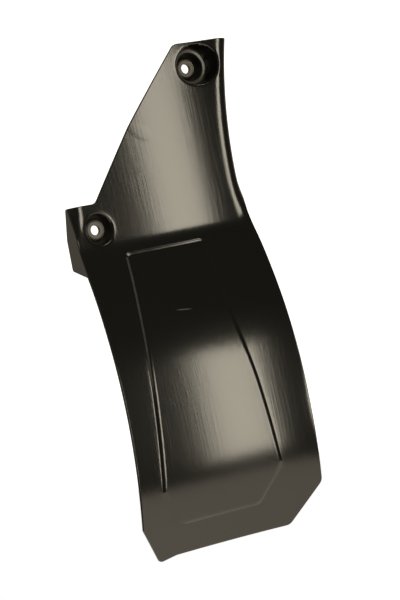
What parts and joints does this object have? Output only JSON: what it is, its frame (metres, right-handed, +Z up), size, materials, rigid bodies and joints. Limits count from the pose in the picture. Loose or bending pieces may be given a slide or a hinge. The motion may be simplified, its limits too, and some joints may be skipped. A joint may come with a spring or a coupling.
{
  "type": "splash guard",
  "caption": "Moulded splash guard for the rear shock of an off-road motorcycle, with a rolled edge, a raised panel and two sunk screw seats.",
  "frame": {"origin": "middle of the upper screw hole, on the land that the screw bears on", "axes": "+Z up along the guard's length as it hangs on the motorcycle, -Y towards the wheel, which is the way both screws come out, +X to the rolled edge"},
  "size_m": [0.1772, 0.0645, 0.4059],
  "materials": {
    "polypropylene": "black moulded polypropylene with a satin face"
  },
  "bodies": {
    "root": {"splash_guard": "polypropylene"}
  },
  "joints": []
}
